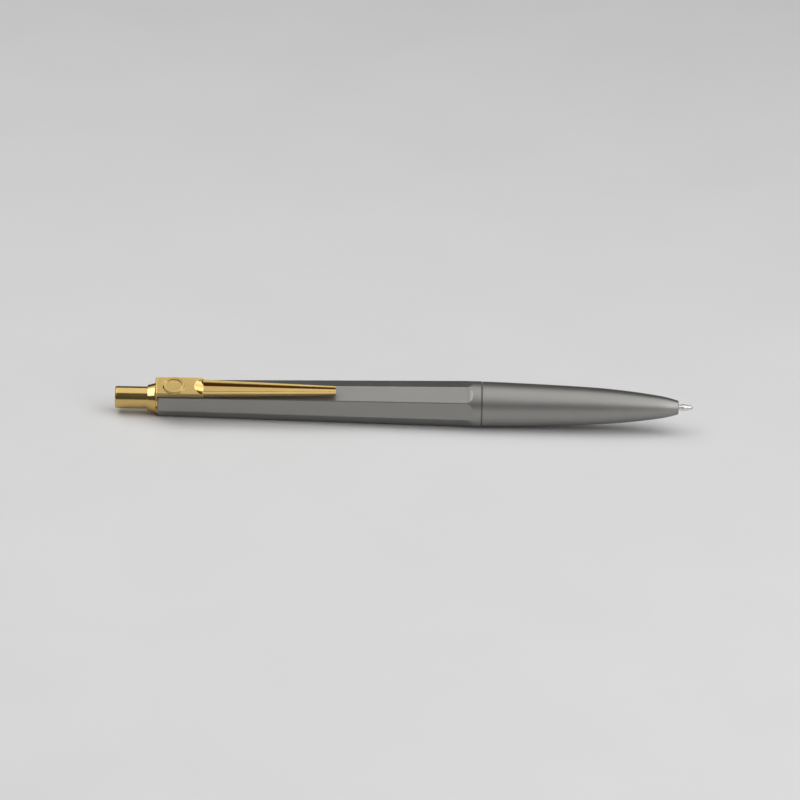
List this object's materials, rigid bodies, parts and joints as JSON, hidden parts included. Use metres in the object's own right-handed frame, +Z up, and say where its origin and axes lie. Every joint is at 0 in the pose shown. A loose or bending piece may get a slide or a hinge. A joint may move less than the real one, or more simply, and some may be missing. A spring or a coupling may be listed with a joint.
{
  "type": "push-button ballpoint pen",
  "caption": "Retractable ballpoint pen with a faceted satin grey barrel, bullet-shaped screw-off front, gold push button and gold pocket clip, shown with its point out.",
  "frame": {"origin": "on the pen's axis, in the seam between the barrel's round collar and the front section", "axes": "+X along the pen's axis towards the writing point, +Z up, with the pen lying on one of the barrel's facets and the clip facing up and towards -Y"},
  "size_m": [0.1339, 0.012, 0.012],
  "materials": {
    "satin_grey": "satin gunmetal grey coating",
    "polished_gold": "polished gold plating",
    "plain_brass": "turned brass",
    "white_plastic": "moulded",
    "black_plastic": "moulded",
    "refill_brass": "drawn brass tube",
    "point_steel": "turned and polished",
    "spring_steel": "drawn wire",
    "blue_ink": "thick ink paste",
    "clear_grease": "clear grease"
  },
  "bodies": {
    "barrel": {"barrel": "satin_grey", "clip": "polished_gold", "top_bushing": "polished_gold", "cam_sleeve": "white_plastic", "thread_bush": "plain_brass"},
    "button": {"push_button": "polished_gold", "button_plunger": "white_plastic"},
    "refill": {"refill_plug": "black_plastic", "refill_tube": "refill_brass", "ink_column": "blue_ink", "grease_follower": "clear_grease", "refill_nose": "refill_brass", "refill_tip": "point_steel"},
    "rotor": {"cam_rotor": "black_plastic"},
    "ball": {"writing_ball": "point_steel"},
    "spring": {"return_spring": "spring_steel"},
    "front": {"front_section": "satin_grey"}
  },
  "joints": [
    {"name": "button_press", "type": "slide", "parent": "barrel", "child": "button", "axis": [1, 0, 0], "range_m": [-0.0045, 0.001], "stiffness_N_per_m": 450},
    {"name": "refill_slide", "type": "slide", "parent": "barrel", "child": "refill", "axis": [1, 0, 0], "range_m": [-0.0045, 0.001], "deforming": ["return_spring"]},
    {"name": "rotor_turn", "type": "hinge", "parent": "refill", "child": "rotor", "pos_m": [-0.0585, 0, 0], "axis": [1, 0, 0], "continuous": true},
    {"name": "ball_roll", "type": "hinge", "parent": "refill", "child": "ball", "pos_m": [0.0485, 0, 0], "axis": [0, 1, 0], "continuous": true},
    {"name": "front_advance", "type": "slide", "parent": "barrel", "child": "spring", "axis": [1, 0, 0], "range_m": [0, 0.006]},
    {"name": "front_unscrew", "type": "hinge", "parent": "spring", "child": "front", "pos_m": [0, 0, 0], "axis": [1, 0, 0], "range_deg": [0, 2161]}
  ],
  "couplings": [
    {"joint": "refill_slide", "follows": "button_press", "ratio": 1},
    {"joint": "front_unscrew", "follows": "front_advance", "rad_per_m": 6283.2}
  ]
}
